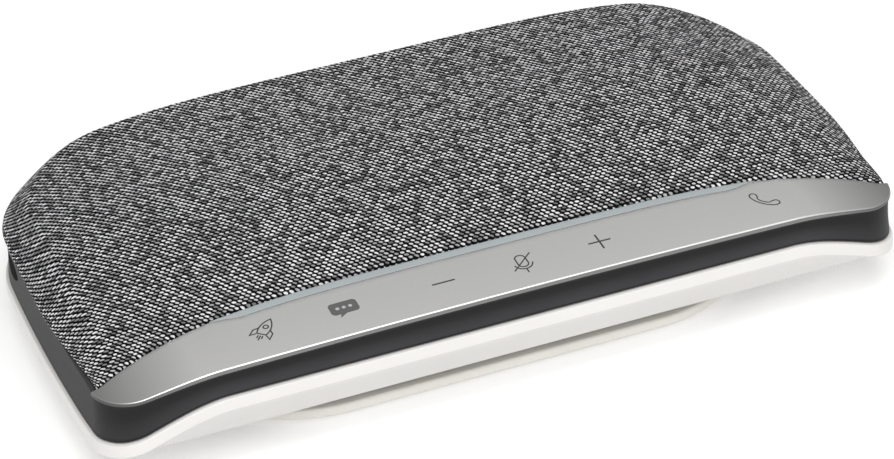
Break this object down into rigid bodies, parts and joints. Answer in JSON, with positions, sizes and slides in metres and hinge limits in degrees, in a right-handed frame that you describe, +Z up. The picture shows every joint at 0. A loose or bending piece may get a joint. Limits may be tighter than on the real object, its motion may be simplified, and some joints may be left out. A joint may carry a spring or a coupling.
{
  "type": "conference speakerphone",
  "caption": "Low desk speakerphone: rounded fabric dome, sloped silver touch bar with light strip, charcoal wall, white base with raised front and a round-ended foot.",
  "frame": {"origin": "centre of the footprint on the table, under the middle of the body", "axes": "+X to the right along the long side, -Y towards the front with the control bar, +Z up"},
  "size_m": [0.182, 0.095, 0.0347],
  "materials": {
    "white_shell": "satin",
    "cream_foot": "satin",
    "sole_rubber": "matte",
    "charcoal_wall": "fine matte",
    "black_plastic": "matte",
    "black_rubber": "matte",
    "melange_fabric": "woven melange",
    "satin_silver": "satin",
    "light_diffuser": "translucent",
    "mesh_steel": "black powder coat",
    "zinc_steel": "plated",
    "magnet_steel": "plated",
    "copper_wire": "enamelled",
    "board_green": "solder mask",
    "chip_black": "matte",
    "ivory_plastic": "matte",
    "cell_foil": "foil",
    "foam_black": "foam",
    "flex_amber": "film",
    "paper_cone": "coated paper"
  },
  "bodies": {
    "casing": {"foot_pad": "sole_rubber", "foot": "cream_foot", "foot_screws": "zinc_steel", "usb_cable": "black_rubber", "cable_grommet": "black_rubber", "plug_grip": "black_plastic", "plug_shell": "zinc_steel", "base_shell": "white_shell", "base_plate": "black_plastic", "housing_seal": "black_rubber", "mid_housing": "charcoal_wall", "strap_pocket": "charcoal_wall", "strap_pin": "zinc_steel", "battery_pack": "cell_foil", "battery_foam": "foam_black", "main_board": "board_green", "processor_can": "zinc_steel", "board_chips": "chip_black", "board_connectors": "ivory_plastic", "speaker_box": "black_plastic", "box_screws": "zinc_steel", "baffle": "black_plastic", "speaker_basket": "mesh_steel", "speaker_magnet": "magnet_steel", "radiator_frames": "black_plastic", "microphones": "copper_wire", "mic_boots": "black_rubber", "grille_mesh": "mesh_steel", "dome_frame": "black_plastic", "fabric_cover": "melange_fabric", "control_bar": "satin_silver", "light_strip": "light_diffuser", "led_board": "ivory_plastic", "touch_board": "board_green", "touch_ribbon": "flex_amber", "side_board": "board_green", "key_switches": "zinc_steel", "charge_port": "zinc_steel", "port_tongue": "ivory_plastic", "battery_light_pipe": "light_diffuser"},
    "power_key": {"power_key": "charcoal_wall"},
    "pairing_key": {"pairing_key": "charcoal_wall"},
    "speaker_motion": {"speaker_cone": "paper_cone", "voice_coil": "copper_wire"},
    "radiator_left": {"radiator_left": "black_rubber"},
    "radiator_right": {"radiator_right": "black_rubber"}
  },
  "joints": [
    {"name": "power_press", "type": "slide", "parent": "casing", "child": "power_key", "axis": [-1, 0, 0], "range_m": [0, 0.0005]},
    {"name": "pairing_press", "type": "slide", "parent": "casing", "child": "pairing_key", "axis": [-1, 0, 0], "range_m": [0, 0.0005]},
    {"name": "cone_travel", "type": "slide", "parent": "casing", "child": "speaker_motion", "axis": [0, 0, 1], "range_m": [-0.0015, 0.0015]},
    {"name": "radiator_left_travel", "type": "slide", "parent": "casing", "child": "radiator_left", "axis": [0, 0, 1], "range_m": [-0.002, 0.002]},
    {"name": "radiator_right_travel", "type": "slide", "parent": "casing", "child": "radiator_right", "axis": [0, 0, 1], "range_m": [-0.002, 0.002]}
  ],
  "couplings": [
    {"joint": "radiator_right_travel", "follows": "radiator_left_travel", "ratio": 1}
  ]
}
